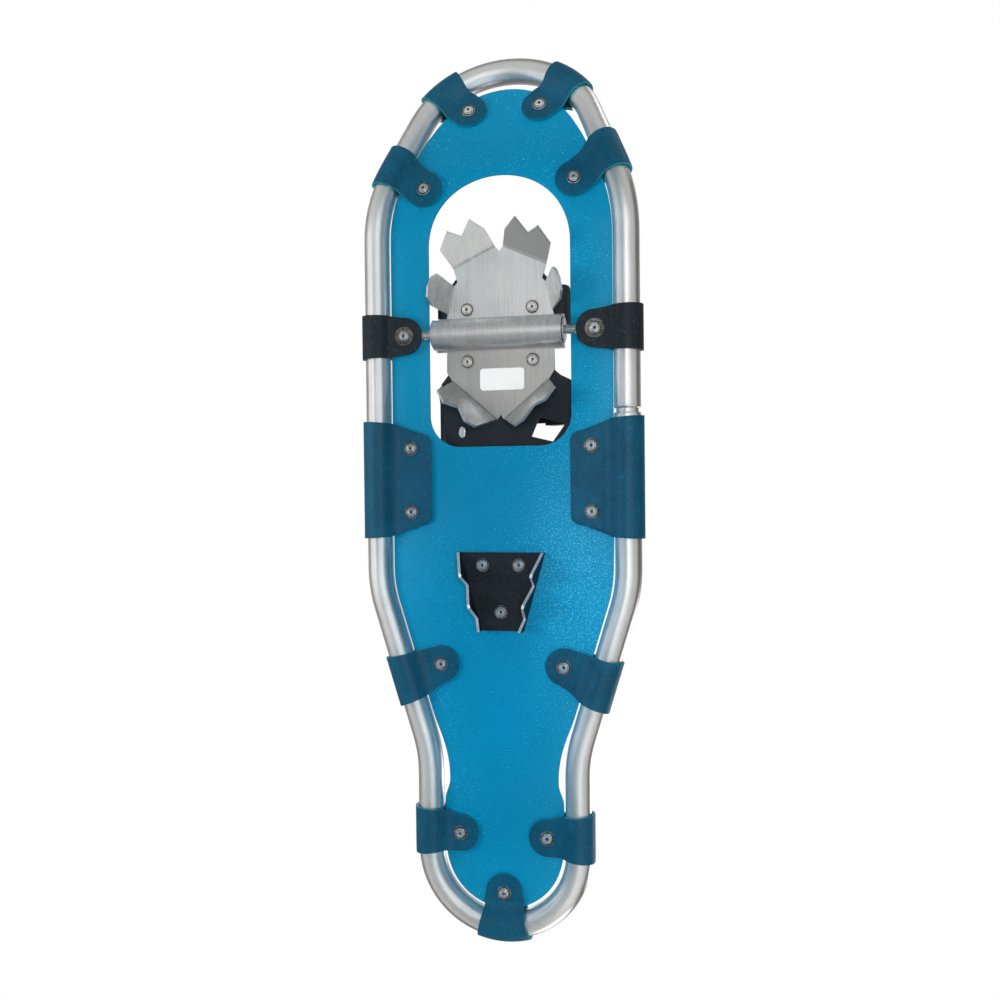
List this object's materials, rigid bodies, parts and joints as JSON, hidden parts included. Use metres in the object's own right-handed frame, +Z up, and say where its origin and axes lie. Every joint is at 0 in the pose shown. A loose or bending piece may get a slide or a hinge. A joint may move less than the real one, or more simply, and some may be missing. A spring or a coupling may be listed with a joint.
{
  "type": "snowshoe",
  "caption": "Tube-framed snowshoe with a riveted flexible deck, toothed toe and heel crampons and a pivoting ratchet-strap binding.",
  "frame": {"origin": "centre of the bounding box in plan, on the ground plane that the crampon tips stand on", "axes": "-Y is forward, to the upturned toe; +Z is up; +X is the wearer's left"},
  "size_m": [0.2072, 0.6564, 0.12],
  "materials": {
    "tube": "satin silver, bare aluminium",
    "deck": "bright blue textured deck sheet",
    "strap": "dark teal grained lashing",
    "hinge_strap": "black pebbled lashing",
    "rivet": "plated rivet and washer",
    "heel_crampon": "black coat with bare toothed edges",
    "toe_crampon": "brushed lengthwise",
    "axle": "plated",
    "bush": "black",
    "binding_base": "black moulded",
    "web": "black moulded strap",
    "buckle": "black moulded",
    "label": "plain white sticker"
  },
  "bodies": {
    "frame": {"axle": "axle", "deck": "deck", "frame_tube": "tube", "heel_crampon": "heel_crampon", "heel_crampon_rivet_1": "rivet", "heel_crampon_rivet_2": "rivet", "heel_crampon_rivet_3": "rivet", "hinge_strap_left": "hinge_strap", "hinge_strap_right": "hinge_strap", "hinge_strap_rivet_left": "rivet", "hinge_strap_rivet_right": "rivet", "shoulder_strap_left": "strap", "shoulder_strap_right": "strap", "shoulder_strap_rivet_left": "rivet", "shoulder_strap_rivet_right": "rivet", "tail_end_strap": "strap", "tail_end_strap_rivet": "rivet", "tail_strap_left": "strap", "tail_strap_right": "strap", "tail_strap_rivet_left": "rivet", "tail_strap_rivet_right": "rivet", "toe_strap_left": "strap", "toe_strap_right": "strap", "toe_strap_rivet_left": "rivet", "toe_strap_rivet_right": "rivet", "waist_strap_left": "strap", "waist_strap_right": "strap", "waist_strap_rivet_left": "rivet", "waist_strap_rivet_right": "rivet", "wide_strap_left": "strap", "wide_strap_right": "strap", "wide_strap_rivet_1_left": "rivet", "wide_strap_rivet_1_right": "rivet", "wide_strap_rivet_2_left": "rivet", "wide_strap_rivet_2_right": "rivet"},
    "binding": {"axle_bush_left": "bush", "axle_bush_right": "bush", "axle_washer_left": "axle", "axle_washer_right": "axle", "binding_base": "binding_base", "binding_rivet_1_left": "rivet", "binding_rivet_1_right": "rivet", "binding_rivet_2_left": "rivet", "binding_rivet_2_right": "rivet", "heel_web": "web", "heel_web_rivet_left": "rivet", "heel_web_rivet_right": "rivet", "instep_ratchet": "buckle", "instep_web": "web", "instep_web_rivet_left": "rivet", "instep_web_rivet_right": "rivet", "label": "label", "toe_crampon": "toe_crampon", "toe_ratchet": "buckle", "toe_web": "web", "toe_web_rivet_left": "rivet", "toe_web_rivet_right": "rivet"},
    "toe_lever": {"toe_lever": "buckle"},
    "instep_lever": {"instep_lever": "buckle"}
  },
  "joints": [
    {"name": "binding_pivot", "type": "hinge", "parent": "frame", "child": "binding", "pos_m": [0, -0.11459, 0.01752], "axis": [1, 0, 0], "range_deg": [0, 60]},
    {"name": "toe_lever_hinge", "type": "hinge", "parent": "binding", "child": "toe_lever", "pos_m": [0.02661, -0.13509, 0.09424], "axis": [0, -1, 0], "range_deg": [0, 75], "stiffness_Nm_per_rad": 0.05},
    {"name": "instep_lever_hinge", "type": "hinge", "parent": "binding", "child": "instep_lever", "pos_m": [0.03239, -0.06659, 0.11137], "axis": [0, -1, 0], "range_deg": [0, 75], "stiffness_Nm_per_rad": 0.05}
  ]
}
